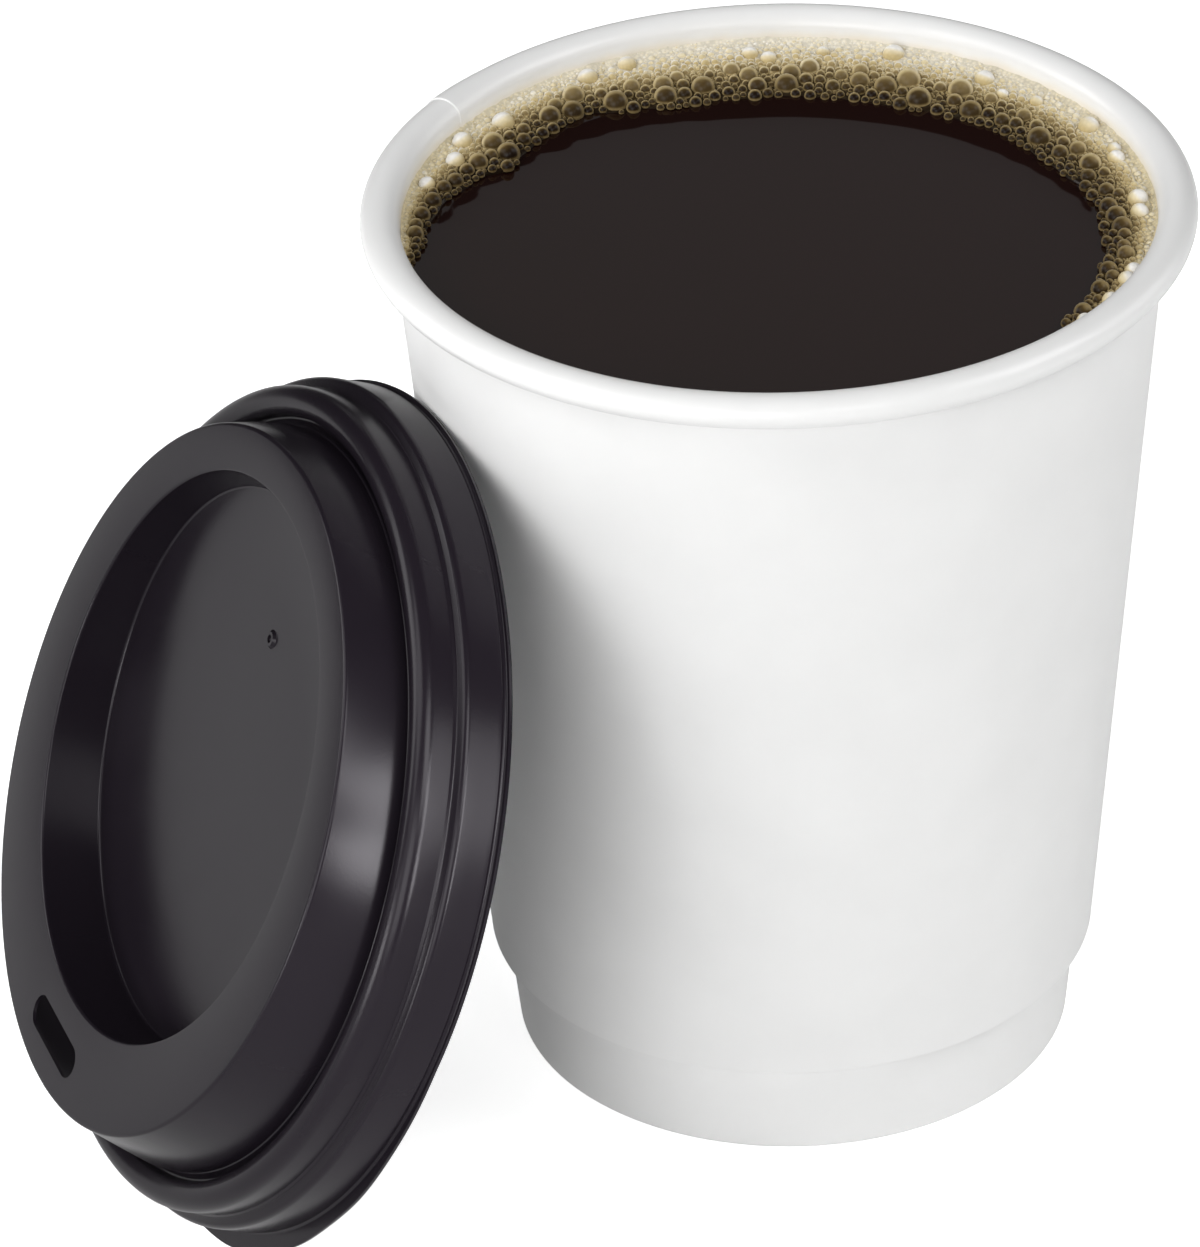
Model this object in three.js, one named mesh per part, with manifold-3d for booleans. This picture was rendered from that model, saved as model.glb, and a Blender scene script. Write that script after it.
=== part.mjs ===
// A double-wall paper coffee cup, full of coffee, with its dome sip lid leaning against it.
// Millimetres, +Z up, the foot on z = 0.
//
// Every paper and plastic piece is a sheet: a path in the half plane (radius, height) is given the
// sheet's thickness and turned round an axis, with the section free to change with the angle.
import * as THREE from 'three';
import { mergeVertices } from 'three/addons/utils/BufferGeometryUtils.js';
import Module from 'manifold-3d';

// ---------- driving dimensions ----------
const turnSteps = 48;            // columns in a full turn

const boardThickness = 0.3;      // cup board, every wall
const gap = 0.3;                 // clearance between pieces that touch

// rolled rim
const rimRadius = 40;            // outermost radius of the roll
const rimHeight = 91.7;          // top of the roll
const rollWidth = 3.75;          // from the wall's inside face out
const rollHeight = 3.2;          // the roll is a little flatter than it is wide
const rollTurn = 310;            // degrees of roll, from the wall over the top and under

// inner wall: a straight cone
const footRadius = 27.4;         // outside, at z = 0

// foot
const hemHeight = 6.2;           // top of the folded hem
const hemFlat = 0.5;             // flat strip that stands on the table
const baseAboveHem = 1.8;        // from the hem's top up to the base disc's face
const baseTuck = 1.2;            // lower edge of the disc's turned-down skirt
const baseCorner = 0.8;          // radius where the disc turns down

// outer sleeve
const sleeveBottom = 10.3;       // lowest point of the curled edge
const airGap = 1.15;             // between the two walls at the sleeve's lower edge
const sleeveCurl = 250;          // degrees that the lower edge turns under

// side seams
const lapWidth = 7;              // overlap of the two edges of a sheet
const innerSeamAngle = 127;      // where the sheet's cut edge lies, degrees round from +X
const sleeveSeamAngle = 70;

// drink
const coffeeDrop = 3.9;          // from the top of the rim down to the coffee
const foamHeight = 1.2;
const foamWidth = 9;             // widest, at the middle of the band
const foamTipWidth = 0.6;
const foamTaper = 1.2;           // how fast the band narrows
const foamReach = 112;           // degrees from the middle of the band to either tip
const foamMiddle = 64;           // degrees round from +X

// lid, in its own frame: lip on z = 0, dome up, drinking side towards +X
const lidThickness = 0.35;
const lidFit = 0.85;             // play between the rolled rim and the lid's skirt
const lipWidth = 0.35;           // flange round the skirt's lower edge
const snapDepth = 0.15;          // ring pressed in just above the lip, it grips the rolled rim
const snapHeight = 0.75;
const skirtHeight = 4.2;
const skirtShoulder = 0.8;       // radius at the skirt's top
const grooveInset = 1.1;         // groove over the skirt, in from the skirt's face
const grooveRise = 0.9;          // up from the skirt's top
const beadInset = 1.25;          // stacking bead, in from the skirt's face
const beadRound = 1.6;           // radius of its section
const beadRise = 3.85;           // its crest above the groove
const troughRound = 0.4;         // radius of the channel between bead and dome
const troughDepth = 1.9;         // below the bead's crest
const ledgeRise = 1.1;           // small step at the dome's foot, above the channel
const ledgeWidth = 1.55;         // from that step in to the top ring's edge
const domeRise = 7.25;           // top ring above the step
const domeSlope = 2.5;           // degrees, higher on the drinking side
const domeShift = -1;            // centre of the ring's outer edge, along X
const domeEdge = 0.4;            // radius of that edge
const ringWidth = 7.1;           // top ring, at right angles to the drinking side
const recessShift = -3.4;        // the recess lies off centre, away from the drinking side
const recessEdge = 0.25;
const recessDepth = 5.1;
const recessDraft = 0.5;         // its wall leans in by this much
const recessFloorShift = -3;
const recessFloorSlope = -1.4;   // degrees, the floor drains towards the drinking side
const recessCorner = 0.3;

const tabWidth = 1.45;           // lift tab: the lip grows by this much
const tabFrom = 2;               // degrees round from the drinking side
const tabTo = 86;
const tabLead = 0.75;            // under 1 moves its widest place towards tabFrom

const slotLength = 12;           // drinking slot, along the ring
const slotWidth = 3.3;
const ventDiameter = 1.1;
const ventRadius = 18;           // its centre from the axis
const ventAngle = 177;           // degrees round from the drinking side
const ventBossRadius = 1.5;
const ventBossHeight = 0.35;

// how the lid stands: on its edge, leaning on the cup
const lidUpright = 22.5;         // degrees between the lid's plane and the vertical
const lidBelowRoll = 3;          // a larger lid leans more, to stay this far under the roll
const lidSpin = 178;             // turns the drinking side to the bottom
const lidSideways = -5.7;        // along Y from the cup's axis

// ---------- helpers ----------
const radians = THREE.MathUtils.degToRad;
const lerp = THREE.MathUtils.lerp;

// Points of an arc in the section plane, angles in degrees, 0 pointing outward and 90 up.
function arc(radius, height, size, from, to, steps, flatten = 1) {
  const points = [];
  for (let i = 0; i <= steps; i++) {
    const a = radians(lerp(from, to, i / steps));
    points.push([radius + size * Math.cos(a), height + size * flatten * Math.sin(a)]);
  }
  return points;
}

// The path moved sideways, to its left for a positive distance, with mitred corners.
// A distance may be a number or a function of the point's place in the path.
function offsetPath(path, distance) {
  const normal = (a, b) => {
    const dr = b[0] - a[0], dz = b[1] - a[1], length = Math.hypot(dr, dz);
    return [-dz / length, dr / length];
  };
  return path.map((p, i) => {
    const before = i > 0 ? normal(path[i - 1], p) : normal(p, path[i + 1]);
    const after = i < path.length - 1 ? normal(p, path[i + 1]) : before;
    const mid = [before[0] + after[0], before[1] + after[1]];
    const scale = 2 / (mid[0] ** 2 + mid[1] ** 2);
    const d = typeof distance === 'function' ? distance(i) : distance;
    return [p[0] + mid[0] * scale * d, p[1] + mid[1] * scale * d];
  });
}

// Column angles of a full turn, with the columns that a side seam needs.
function turnAngles(seam) {
  const angles = [];
  for (let i = 0; i < turnSteps; i++) angles.push(360 * i / turnSteps);
  if (!seam) return angles;
  const own = [seam.from, seam.edge, seam.edge + seamStep].map(a => (a + 360) % 360);
  const clear = angles.filter(a => own.every(e => Math.abs(a - e) > 0.5));
  return [...clear, ...own].sort((a, b) => a - b);
}

// Turns a section round the Z axis. sectionAt(angle) gives the points (radius, height) at an angle
// in degrees, always as many. A closed section makes a ring. A section that starts and ends on the
// axis makes a capped body.
function turned(sectionAt, angles = turnAngles()) {
  const onAxis = p => Math.abs(p[0]) < 1e-9;
  const first = sectionAt(angles[0]);
  const capped = onAxis(first[0]) && onAxis(first[first.length - 1]);
  const rows = first.length, columns = angles.length;
  const positions = [];
  for (const angle of angles) {
    const a = radians(angle);
    for (const [r, z] of sectionAt(angle)) positions.push(r * Math.cos(a), r * Math.sin(a), z);
  }
  const index = [];
  const at = (i, j) => (i % columns) * rows + (j % rows);
  const lastRow = capped ? rows - 1 : rows;
  for (let i = 0; i < columns; i++) {
    for (let j = 0; j < lastRow; j++) {
      const a = at(i, j), b = at(i + 1, j), c = at(i + 1, j + 1), d = at(i, j + 1);
      if (!(capped && j === 0)) index.push(a, b, d);
      if (!(capped && j === lastRow - 1)) index.push(b, c, d);
    }
  }
  const geometry = new THREE.BufferGeometry();
  geometry.setAttribute('position', new THREE.Float32BufferAttribute(positions, 3));
  geometry.setIndex(index);
  return pointOutward(mergeVertices(geometry, 1e-4));
}

// Turns the faces round if the closed mesh is inside out.
function pointOutward(geometry) {
  const p = geometry.attributes.position, index = geometry.index.array;
  const corner = [new THREE.Vector3(), new THREE.Vector3(), new THREE.Vector3()];
  let volume = 0;
  for (let i = 0; i < index.length; i += 3) {
    corner.forEach((v, k) => v.fromBufferAttribute(p, index[i + k]));
    volume += corner[0].dot(corner[1].clone().cross(corner[2]));
  }
  if (volume < 0) for (let i = 0; i < index.length; i += 3) {
    [index[i], index[i + 1]] = [index[i + 1], index[i]];
  }
  return geometry;
}

const wasm = await Module();
wasm.setup();

function toSolid(geometry) {
  const bare = geometry.clone();
  bare.deleteAttribute('normal');
  bare.deleteAttribute('uv');
  const merged = mergeVertices(bare, 1e-4);
  return new wasm.Manifold(new wasm.Mesh({
    numProp: 3,
    vertProperties: new Float32Array(merged.attributes.position.array),
    triVerts: new Uint32Array(merged.index.array),
  }));
}

function toGeometry(solid) {
  const mesh = solid.getMesh();
  const geometry = new THREE.BufferGeometry();
  geometry.setAttribute('position', new THREE.BufferAttribute(new Float32Array(mesh.vertProperties), 3));
  geometry.setIndex(new THREE.BufferAttribute(new Uint32Array(mesh.triVerts), 1));
  return geometry;
}

function piece(name, geometry, color, roughness) {
  geometry.computeVertexNormals();
  const mesh = new THREE.Mesh(geometry, new THREE.MeshStandardMaterial({ color, roughness, metalness: 0 }));
  mesh.name = name;
  return mesh;
}

// ---------- what the paper pieces share ----------
const half = boardThickness / 2;
const rollWide = rollWidth / 2;
const rollMiddle = rimRadius - rollWide;
const rollLevel = rimHeight - rollHeight / 2;
const mouthRadius = rimRadius - rollWidth + boardThickness;
const wallSlope = (mouthRadius - footRadius) / rollLevel;
const baseHeight = hemHeight + baseAboveHem;

const wallOutside = z => footRadius + wallSlope * z;
const wallInside = z => wallOutside(z) - boardThickness;

// The sleeve stands a gap off the wall under the roll and an air gap off it below.
const sleeveTop = rimHeight - rollHeight - gap;
const sleeveTopRadius = wallOutside(sleeveTop) + gap + boardThickness;
const sleeveBottomRadius = wallOutside(sleeveBottom) + airGap + boardThickness;
const sleeveSlope = (sleeveTopRadius - sleeveBottomRadius) / (sleeveTop - sleeveBottom);
const sleeveOutside = z => sleeveBottomRadius + sleeveSlope * (z - sleeveBottom);

// A side seam: the board climbs over itself through the lap and ends in its cut edge.
const seamStep = 0.1;            // degrees over which the cut edge drops
function sideSeam(edge, radius) {
  return { edge, from: edge - THREE.MathUtils.radToDeg(lapWidth / radius) };
}
const innerSeam = sideSeam(innerSeamAngle, mouthRadius);
const sleeveSeam = sideSeam(sleeveSeamAngle, sleeveTopRadius);
function lapThickness(angle, seam) {
  if (angle <= seam.from || angle > seam.edge + seamStep / 2) return 0;
  return boardThickness * (angle - seam.from) / (seam.edge - seam.from);
}

// ---------- inner cup ----------
// The sheet's middle, from the top of the hem down, round the fold, up the wall and over the rim.
const hemInset = boardThickness * 2 + gap * 2;      // wall to hem, with the disc's skirt between
const foldSize = (hemInset - hemFlat) / 2;

function innerCup() {
  const foldLevel = half + foldSize;
  const foot = wallOutside(foldLevel) - half;
  const hemRise = wallSlope * (hemHeight - foldLevel);
  const lower = [
    [foot - hemInset + hemRise, hemHeight],
    ...arc(foot - hemInset + foldSize, foldLevel, foldSize, 180, 270, 2),
    ...arc(foot - foldSize, foldLevel, foldSize, 270, 360, 2),
    [wallOutside(baseHeight) - half, baseHeight],
  ];
  const upper = [
    [wallOutside(baseHeight + 1) - half, baseHeight + 1],
    ...arc(rollMiddle, rollLevel, rollWide - half, 180, 180 - rollTurn, 11,
      (rollHeight / 2 - half) / (rollWide - half)),
  ];
  const path = [...lower, ...upper];
  const outer = offsetPath(path, -half);
  const section = angle => {
    const extra = lapThickness(angle, innerSeam);
    const inner = offsetPath(path, i => half + (i >= lower.length ? extra : 0));
    return [...outer, ...inner.reverse()];
  };
  return turned(section, turnAngles(innerSeam));
}

// ---------- base disc ----------
function baseDisc() {
  const edge = z => wallInside(z) - gap - half;
  const level = baseHeight - half;
  const corner = arc(edge(level) - baseCorner, level - baseCorner, baseCorner, 90, 0, 3);
  const path = [[0, level], ...corner, [edge(baseTuck), baseTuck]];
  const above = offsetPath(path, half), below = offsetPath(path, -half);
  above[0][0] = below[0][0] = 0;
  const section = [...above, ...below.reverse()];
  return turned(() => section);
}

// ---------- outer sleeve ----------
function outerSleeve() {
  const curl = (airGap + boardThickness - gap) / 2 - half;
  const level = sleeveBottom + curl + half;
  const path = [
    [sleeveOutside(sleeveTop) - half, sleeveTop],
    [sleeveOutside(level) - half, level],
    ...arc(sleeveOutside(level) - half - curl, level, curl, 0, -sleeveCurl, 7).slice(1),
  ];
  const inner = offsetPath(path, -half);
  const straight = 3;                               // path points before the curl turns under
  const section = angle => {
    const extra = lapThickness(angle, sleeveSeam);
    return [...offsetPath(path, i => half + (i < straight ? extra : 0)), ...inner.slice().reverse()];
  };
  return turned(section, turnAngles(sleeveSeam));
}

// ---------- drink ----------
// The lap on the wall's inside face takes a board's thickness from the room for the drink.
const coffeeLevel = rimHeight - coffeeDrop;
const drinkRadius = z => wallInside(z) - boardThickness - gap;

function coffee() {
  const low = baseHeight + gap;
  const profile = [[0, low], [drinkRadius(low), low], [drinkRadius(coffeeLevel), coffeeLevel], [0, coffeeLevel]];
  return turned(() => profile);
}

// A crescent of froth: its outer edge follows the wall and its inner edge draws back to both tips.
function foam() {
  const outer = drinkRadius(coffeeLevel);
  const steps = Math.round(turnSteps * foamReach / 180);
  const edge = (t, width) => {
    const a = radians(foamMiddle + t * foamReach);
    const r = outer - width;
    return new THREE.Vector2(r * Math.cos(a), r * Math.sin(a));
  };
  const width = t => foamTipWidth + (foamWidth - foamTipWidth) * Math.cos(t * Math.PI / 2) ** foamTaper;
  const outline = [];
  for (let i = 0; i <= steps; i++) outline.push(edge(2 * i / steps - 1, 0));
  for (let i = steps; i >= 0; i--) outline.push(edge(2 * i / steps - 1, width(2 * i / steps - 1)));
  const geometry = new THREE.ExtrudeGeometry(new THREE.Shape(outline), { depth: foamHeight, bevelEnabled: false });
  geometry.translate(0, 0, coffeeLevel + gap);
  return toGeometry(toSolid(geometry));
}

// ---------- lid ----------
// Radii and heights follow one another from the rolled rim, and from the lip up.
const skirtRadius = rimRadius + lidFit + lidThickness;
const lipRadius = skirtRadius + lipWidth;

// A lid too tall to stay under the roll leans further.
const uprightShare = Math.min(1, (sleeveTop - lidBelowRoll) / (2 * lipRadius));
const lidLean = Math.max(lidUpright, THREE.MathUtils.radToDeg(Math.acos(uprightShare)));
const grooveRadius = skirtRadius - grooveInset;
const grooveHeight = skirtHeight + grooveRise;
const beadCrestRadius = skirtRadius - beadInset - beadRound;
const beadTop = grooveHeight + beadRise;
const troughRadius = beadCrestRadius - beadRound;
const troughHeight = beadTop - troughDepth;
const ledgeRadius = troughRadius - troughRound;
const ledgeHeight = troughHeight + ledgeRise;
const domeRadius = ledgeRadius - ledgeWidth;
const domeHeight = ledgeHeight + domeRise;
const recessRadius = domeRadius - ringWidth;
const recessFloorRadius = recessRadius - recessDraft;
const recessFloorHeight = domeHeight - recessDepth;
const slotRadius = (recessRadius + recessShift + domeRadius + domeShift) / 2;

// Radius, from the lid's axis, of a circle whose centre is moved along X, and the height of a plane
// that slopes along X.
function shiftedRadius(radius, shift, angle) {
  const a = radians(angle);
  return shift * Math.cos(a) + Math.sqrt(radius ** 2 - (shift * Math.sin(a)) ** 2);
}
const slopedHeight = (height, slope, r, angle) =>
  height + Math.tan(radians(slope)) * r * Math.cos(radians(angle));

// The lip grows smoothly into the lift tab, widest nearer the drinking side.
function lipAt(angle) {
  const t = (angle - tabFrom) / (tabTo - tabFrom);
  if (t <= 0 || t >= 1) return lipRadius;
  return lipRadius + tabWidth * Math.sin(Math.PI * t ** tabLead);
}

// The sheet's upper face at an angle, from the middle of the recess out to the lip.
function lidPath(angle) {
  const floor = shiftedRadius(recessFloorRadius, recessFloorShift, angle) - recessCorner;
  const mouth = shiftedRadius(recessRadius, recessShift, angle) + recessEdge;
  const dome = shiftedRadius(domeRadius, domeShift, angle) - domeEdge;
  const floorLevel = slopedHeight(recessFloorHeight, recessFloorSlope, floor, angle);
  const topLevel = r => slopedHeight(domeHeight, domeSlope, r, angle);
  return [
    [0, recessFloorHeight],
    ...arc(floor, floorLevel + recessCorner, recessCorner, -90, 0, 2),
    ...arc(mouth, topLevel(mouth) - recessEdge, recessEdge, 180, 90, 2),
    ...arc(dome, topLevel(dome) - domeEdge, domeEdge, 90, 0, 3),
    [ledgeRadius, ledgeHeight],
    ...arc(troughRadius, troughHeight + troughRound, troughRound, 180, 315, 3),
    ...arc(beadCrestRadius, beadTop - beadRound, beadRound, 140, 0, 5),
    [grooveRadius, grooveHeight],
    ...arc(skirtRadius - skirtShoulder, skirtHeight, skirtShoulder, 60, 0, 2),
    [skirtRadius, snapHeight + snapDepth * 2],
    [skirtRadius - snapDepth, snapHeight],
    [skirtRadius - snapDepth / 2, lidThickness * 1.2],
    [lipAt(angle), lidThickness],
  ];
}

// A slot with round ends, long along Y, centred at x.
function slotCutter(x, low, high) {
  const shape = new THREE.Shape();
  const end = (slotLength - slotWidth) / 2, round = slotWidth / 2;
  shape.absarc(x, end, round, 0, Math.PI, false);
  shape.absarc(x, -end, round, Math.PI, 2 * Math.PI, false);
  const geometry = new THREE.ExtrudeGeometry(shape, { depth: high - low, bevelEnabled: false, curveSegments: 8 });
  return toSolid(geometry.translate(0, 0, low));
}

function lid() {
  const section = angle => {
    const upper = lidPath(angle);
    const under = offsetPath(upper, -lidThickness);
    under[0] = [0, recessFloorHeight - lidThickness];
    return [...upper, ...under.reverse()];
  };
  let shell = toSolid(turned(section));

  const ring = slopedHeight(domeHeight, domeSlope, slotRadius, 0);
  shell = shell.subtract(slotCutter(slotRadius, ring - 3 * lidThickness, ring + 3 * lidThickness));

  const floor = slopedHeight(recessFloorHeight, recessFloorSlope, ventRadius, ventAngle);
  const ventX = ventRadius * Math.cos(radians(ventAngle)), ventY = ventRadius * Math.sin(radians(ventAngle));
  const boss = new THREE.CylinderGeometry(ventDiameter / 2 + lidThickness, ventBossRadius,
    ventBossHeight + lidThickness / 2, 16).rotateX(Math.PI / 2);
  boss.translate(ventX, ventY, floor + ventBossHeight / 2 - lidThickness / 4);
  const hole = new THREE.CylinderGeometry(ventDiameter / 2, ventDiameter / 2, 4, 12).rotateX(Math.PI / 2);
  hole.translate(ventX, ventY, floor);
  return toGeometry(shell.add(toSolid(boss)).subtract(toSolid(hole)));
}

// ---------- assembly ----------
// The outside of the cup that something leaning on it could touch.
function cupOutside(z) {
  if (z < sleeveBottom) return wallOutside(z);
  return z < rimHeight - rollHeight ? sleeveOutside(z) : rimRadius;
}

// Stands the lid on its edge and slides it along X until it is a gap away from the cup.
function standLid(mesh) {
  mesh.rotation.z = radians(lidSpin);
  const lean = new THREE.Group();
  lean.rotation.y = radians(lidLean - 90);
  lean.add(mesh);
  lean.updateMatrixWorld(true);
  const p = mesh.geometry.attributes.position, v = new THREE.Vector3();
  const points = Array.from({ length: p.count }, (_, i) =>
    v.fromBufferAttribute(p, i).applyMatrix4(mesh.matrixWorld).clone());
  const low = Math.min(...points.map(q => q.z));
  let x = Infinity;
  for (const q of points) {
    const reach = cupOutside(q.z - low) + gap, y = q.y + lidSideways;
    if (Math.abs(y) < reach) x = Math.min(x, -Math.sqrt(reach ** 2 - y ** 2) - q.x);
  }
  lean.position.set(x, lidSideways, -low);
  return lean;
}

const paper = 0xf1f1ef, plastic = 0x2a292b;
const model = new THREE.Group();
model.add(
  piece('inner_cup', innerCup(), paper, 0.6),
  piece('base_disc', baseDisc(), paper, 0.6),
  piece('outer_sleeve', outerSleeve(), paper, 0.6),
  piece('coffee', coffee(), 0x1c1413, 0.08),
  piece('coffee_foam', foam(), 0xb49a5c, 0.35),
  standLid(piece('lid', lid(), plastic, 0.35)),
);

// The origin is under the middle of the whole group, on the table.
const box = new THREE.Box3().setFromObject(model, true);
model.position.set(-(box.min.x + box.max.x) / 2, -(box.min.y + box.max.y) / 2, 0);

export default model;
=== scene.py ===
# A paper coffee cup with its froth and its leaning sip lid, finished for a studio picture.
import math
import random
import time

import bmesh
import bpy
from mathutils import Matrix, Vector, noise


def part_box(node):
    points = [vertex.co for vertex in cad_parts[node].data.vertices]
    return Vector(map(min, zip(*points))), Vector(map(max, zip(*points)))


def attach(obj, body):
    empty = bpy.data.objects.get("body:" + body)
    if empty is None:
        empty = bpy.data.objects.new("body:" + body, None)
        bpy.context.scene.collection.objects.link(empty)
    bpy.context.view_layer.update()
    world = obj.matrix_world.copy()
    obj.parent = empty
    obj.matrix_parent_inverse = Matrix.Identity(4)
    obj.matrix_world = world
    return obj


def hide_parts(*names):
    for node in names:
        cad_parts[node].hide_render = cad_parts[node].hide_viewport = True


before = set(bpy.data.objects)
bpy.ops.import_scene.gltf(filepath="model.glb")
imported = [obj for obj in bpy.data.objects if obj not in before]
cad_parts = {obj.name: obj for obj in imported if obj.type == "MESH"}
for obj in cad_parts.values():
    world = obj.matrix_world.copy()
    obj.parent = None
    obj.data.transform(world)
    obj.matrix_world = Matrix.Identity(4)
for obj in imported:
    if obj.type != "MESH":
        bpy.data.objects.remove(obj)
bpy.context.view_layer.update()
mm = 0.001
started = time.time()


def clock():
    return f"{time.time() - started:.1f} s"


rimLow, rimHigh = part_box("inner_cup")
cupX = (rimLow.x + rimHigh.x) / 2
cupY = (rimLow.y + rimHigh.y) / 2
cupPlace = Matrix.Translation((cupX, cupY, 0))


# helpers

# points of a section, in mm
def arc(centreR, centreZ, size, start, end, steps, flatten=1.0):
    points = []
    for i in range(steps + 1):
        a = math.radians(start + (end - start) * i / steps)
        points.append((centreR + size * math.cos(a), centreZ + size * flatten * math.sin(a)))
    return points


# a surface turned from a section of (radius, height), in mm, about the local Z axis
def spinSection(points, steps, start=0.0, turn=360.0, closed=False):
    bm = bmesh.new()
    row = bm.verts.layers.int.new("row")
    a = math.radians(start)
    verts = []
    for i, (r, z) in enumerate(points):
        v = bm.verts.new((r * mm * math.cos(a), r * mm * math.sin(a), z * mm))
        v[row] = i
        verts.append(v)
    edges = [bm.edges.new(pair) for pair in zip(verts, verts[1:])]
    if closed:
        edges.append(bm.edges.new((verts[-1], verts[0])))
    full = turn > 359.999
    bmesh.ops.spin(bm, geom=verts + edges, cent=(0, 0, 0), axis=(0, 0, 1), dvec=(0, 0, 0),
                   angle=math.radians(turn), steps=steps, use_merge=full, use_duplicate=False)
    bmesh.ops.remove_doubles(bm, verts=bm.verts, dist=1e-7)
    bmesh.ops.recalc_face_normals(bm, faces=bm.faces)
    return bm


def angleOf(co):
    return math.degrees(math.atan2(co.y, co.x)) % 360


def signedAngleOf(co):
    return (angleOf(co) + 180) % 360 - 180


def linkMesh(name, bm):
    mesh = bpy.data.meshes.new(name)
    bm.to_mesh(mesh)
    bm.free()
    ob = bpy.data.objects.new(name, mesh)
    bpy.context.scene.collection.objects.link(ob)
    return ob


def makeObject(name, bm, material, replaced=(), sharp=None):
    ob = linkMesh(name, bm)
    ob.data.materials.append(material)
    ob.data.shade_smooth()
    if sharp:
        ob.data.set_sharp_from_angle(angle=math.radians(sharp))
    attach(ob, "root")
    for node in replaced:
        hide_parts(node)
    return ob


def applyModifiers(ob, sharp):
    graph = bpy.context.evaluated_depsgraph_get()
    done = bpy.data.meshes.new_from_object(ob.evaluated_get(graph))
    ob.modifiers.clear()
    old = ob.data
    ob.data = done
    bpy.data.meshes.remove(old)
    done.shade_smooth()
    done.set_sharp_from_angle(angle=math.radians(sharp))


# offset 1 puts the thickness on the side that the faces look to, and -1 on the other
def addThickness(ob, thickness, offset):
    mod = ob.modifiers.new("thickness", "SOLIDIFY")
    mod.thickness = thickness * mm
    mod.offset = offset
    mod.use_even_offset = True
    return mod


def newMaterial(name):
    mat = bpy.data.materials.new(name)
    mat.use_nodes = True
    nodes = mat.node_tree.nodes
    links = mat.node_tree.links
    shader = nodes["Principled BSDF"]
    return mat, nodes, links, shader


def addNode(nodes, kind, **settings):
    node = nodes.new(kind)
    for key, value in settings.items():
        setattr(node, key, value)
    return node


def setInputs(node, **values):
    for key, value in values.items():
        node.inputs[key.replace("_", " ")].default_value = value


def bumpFrom(nodes, links, height, strength, distance):
    bump = nodes.new("ShaderNodeBump")
    setInputs(bump, Strength=strength, Distance=distance)
    links.new(height, bump.inputs["Height"])
    return bump.outputs["Normal"]


def noiseFrom(nodes, links, place, scale, detail, roughness=0.5):
    node = nodes.new("ShaderNodeTexNoise")
    setInputs(node, Scale=scale, Detail=detail, Roughness=roughness)
    links.new(place, node.inputs["Vector"])
    return node.outputs["Fac"]


def mapFrom(nodes, links, value, kind="LINEAR", **limits):
    node = addNode(nodes, "ShaderNodeMapRange", interpolation_type=kind)
    setInputs(node, **limits)
    links.new(value, node.inputs["Value"])
    return node.outputs["Result"]


def product(nodes, links, first, second):
    node = addNode(nodes, "ShaderNodeMath", operation="MULTIPLY")
    links.new(first, node.inputs[0])
    links.new(second, node.inputs[1])
    return node.outputs["Value"]


# a ramp through stops of (position, colour)
def rampFrom(nodes, links, value, stops):
    node = nodes.new("ShaderNodeValToRGB")
    elements = node.color_ramp.elements
    while len(elements) < len(stops):
        elements.new(0.5)
    for element, (at, rgb) in zip(elements, stops):
        element.position = at
        element.color = (*rgb, 1)
    links.new(value, node.inputs["Fac"])
    return node.outputs["Color"]


def mixColors(nodes, links, factor, first, second, blend="MIX"):
    node = addNode(nodes, "ShaderNodeMix", data_type="RGBA", blend_type=blend)
    for socket, source in (("Factor", factor), ("A", first), ("B", second)):
        if isinstance(source, bpy.types.NodeSocket):
            links.new(source, node.inputs[socket])
        else:
            node.inputs[socket].default_value = source
    return node.outputs["Result"]


# materials

# cup board: a white coated face with a very fine fibre grain
def paperMaterial(name, look):
    mat, nodes, links, shader = newMaterial(name)
    place = nodes.new("ShaderNodeTexCoord").outputs["Object"]
    grain = noiseFrom(nodes, links, place, look["grainScale"], detail=4.0, roughness=look["grainRough"])
    cloud = noiseFrom(nodes, links, place, look["cloudScale"], detail=3.0)
    color = rampFrom(nodes, links, cloud, look["ramp"])
    if look.get("warmTint"):
        color = warmTintNear(nodes, links, place, color, look["warmTint"])
    links.new(color, shader.inputs["Base Color"])
    smoothest, roughest = look["roughness"]
    rough = mapFrom(nodes, links, grain, To_Min=smoothest, To_Max=roughest)
    links.new(rough, shader.inputs["Roughness"])
    links.new(bumpFrom(nodes, links, grain, look["grainDepth"], look["grainReach"]), shader.inputs["Normal"])
    setInputs(shader, Coat_Weight=look["coat"], Coat_Roughness=look["coatRoughness"],
              Specular_IOR_Level=look["specular"])
    return mat
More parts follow.
